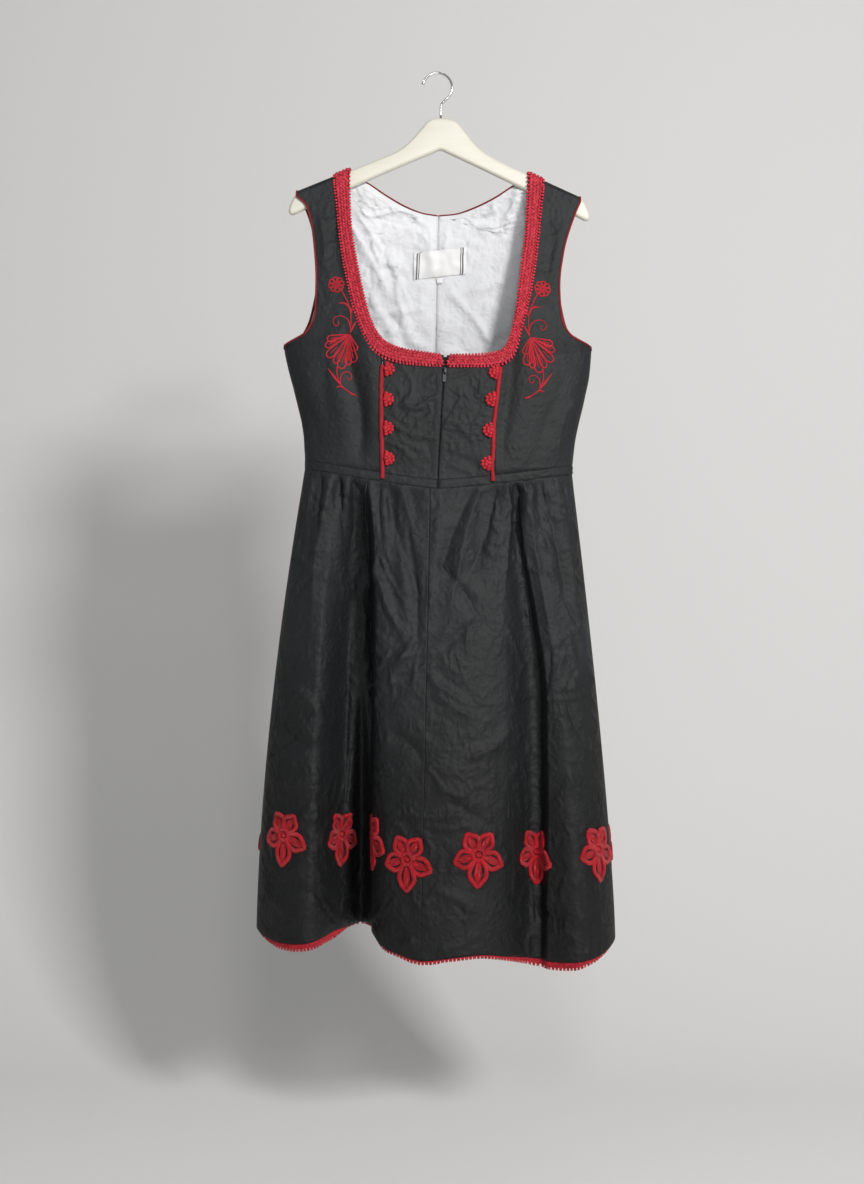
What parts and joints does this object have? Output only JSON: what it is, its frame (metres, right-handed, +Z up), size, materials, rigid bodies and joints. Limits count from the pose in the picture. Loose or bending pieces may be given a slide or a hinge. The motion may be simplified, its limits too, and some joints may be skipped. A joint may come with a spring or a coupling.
{
  "type": "sleeveless folk dress on a wooden hanger",
  "caption": "Sleeveless black folk dress with looped red neck braid, piped front, covered half buttons, embroidered flowers and lace at the hem, hung on a cream wooden hanger with a wire hook.",
  "frame": {"origin": "inside top of the hanger's hook", "axes": "+X to the right as one looks at the front of the dress, -Y out of the front, +Z up"},
  "size_m": [0.5301, 0.2339, 1.3051],
  "materials": {
    "black_cloth": "crisp woven black cloth with a faint sheen and fine creases",
    "edge_piping": "dark red corded edge",
    "front_piping": "red knitted cord",
    "button_yarn": "red crocheted yarn over a half-round core",
    "flower_thread": "red satin stitch",
    "hem_lace": "red crochet lace",
    "neck_braid": "red looped gimp braid",
    "lining": "thin crinkled white lining",
    "label_tape": "white woven tape",
    "hanger_wood": "cream lacquered wood",
    "hook_chrome": "polished wire",
    "zip_metal": "black lacquered metal and tape"
  },
  "bodies": {
    "dress": {"armhole_piping_left": "edge_piping", "armhole_piping_right": "edge_piping", "back_neck_piping": "edge_piping", "bodice_back_left": "black_cloth", "bodice_back_right": "black_cloth", "bodice_centre_left": "black_cloth", "bodice_centre_right": "black_cloth", "bodice_side_front_left": "black_cloth", "bodice_side_front_right": "black_cloth", "button_left_1": "button_yarn", "button_left_2": "button_yarn", "button_left_3": "button_yarn", "button_left_4": "button_yarn", "button_right_1": "button_yarn", "button_right_2": "button_yarn", "button_right_3": "button_yarn", "button_right_4": "button_yarn", "flower_01": "flower_thread", "flower_02": "flower_thread", "flower_03": "flower_thread", "flower_04": "flower_thread", "flower_05": "flower_thread", "flower_06": "flower_thread", "flower_07": "flower_thread", "flower_08": "flower_thread", "flower_09": "flower_thread", "flower_10": "flower_thread", "flower_11": "flower_thread", "flower_12": "flower_thread", "flower_13": "flower_thread", "flower_14": "flower_thread", "front_piping_left": "front_piping", "front_piping_right": "front_piping", "hanger_body": "hanger_wood", "hanger_hook": "hook_chrome", "label": "label_tape", "lace_back_left": "hem_lace", "lace_back_right": "hem_lace", "lace_front_left": "hem_lace", "lace_front_right": "hem_lace", "lining_back_left": "lining", "lining_back_right": "lining", "neck_braid_left": "neck_braid", "neck_braid_right": "neck_braid", "size_tab": "label_tape", "skirt_back_left": "black_cloth", "skirt_back_right": "black_cloth", "skirt_front_left": "black_cloth", "skirt_front_right": "black_cloth", "waistband_back": "black_cloth", "waistband_front_left": "black_cloth", "waistband_front_right": "black_cloth", "zip_chain": "zip_metal", "zip_slider": "zip_metal"},
    "pull_tab": {"zip_pull_tab": "zip_metal"}
  },
  "joints": [
    {"name": "pull_tab_hinge", "type": "hinge", "parent": "dress", "child": "pull_tab", "pos_m": [0.01397, -0.05767, -0.44625], "axis": [-1, 0, 0], "range_deg": [0, 150]}
  ]
}
